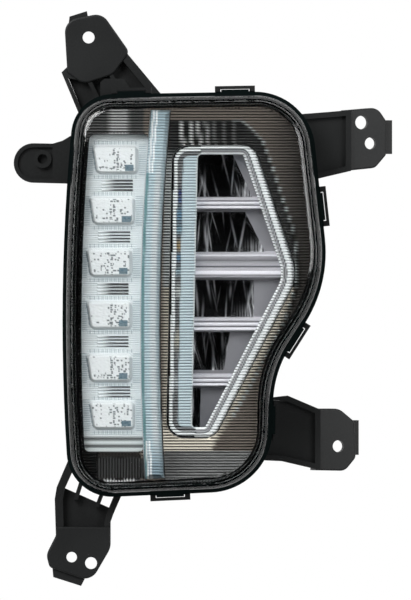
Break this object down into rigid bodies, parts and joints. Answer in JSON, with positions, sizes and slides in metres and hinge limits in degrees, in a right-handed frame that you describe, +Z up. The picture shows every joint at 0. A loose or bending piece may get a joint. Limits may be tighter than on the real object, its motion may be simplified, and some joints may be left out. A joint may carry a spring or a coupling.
{
  "type": "auxiliary driving light",
  "caption": "Car front corner light: crowned clear lens over a column of daytime running cells and a ribbed arrow-shaped driving light, in a black housing with fixing legs.",
  "frame": {"origin": "centre of the upper left fixing hole, on the front face of its leg", "axes": "+Z up, the lamp shines along -Y, +X to the right seen from the front"},
  "size_m": [0.2092, 0.098, 0.3179],
  "materials": {
    "housing": "satin, moulded",
    "lens": "clear, polished",
    "gloss_black": "gloss, reeded",
    "clear_guide": "clear, ribbed",
    "aluminised": "vacuum-metallised",
    "satin_silver": "satin silver paint",
    "board": "white solder mask",
    "led": "yellow phosphor",
    "sink": "die-cast",
    "seal": "matt",
    "screw": "zinc-plated",
    "components": "moulded",
    "terminal": "tin-plated"
  },
  "bodies": {
    "root": {"housing": "housing", "outer_lens": "lens", "lens_sealant": "seal", "reeded_bezel": "gloss_black", "drl_inner_lens": "clear_guide", "drl_reflector": "aluminised", "light_blade": "clear_guide", "drl_board": "board", "drl_leds": "led", "drl_board_screws": "screw", "silver_bezel": "satin_silver", "light_frame": "clear_guide", "driving_reflector": "aluminised", "reflector_screws": "screw", "driving_board": "board", "driving_leds": "led", "driving_board_screws": "screw", "heat_sink": "sink", "heat_sink_gasket": "seal", "heat_sink_screws": "screw", "rear_cover": "housing", "rear_cover_gasket": "seal", "rear_cover_screws": "screw", "driver_board": "board", "driver_components": "components", "driver_board_screws": "screw", "connector_terminals": "terminal", "breather_caps": "seal"}
  },
  "joints": []
}
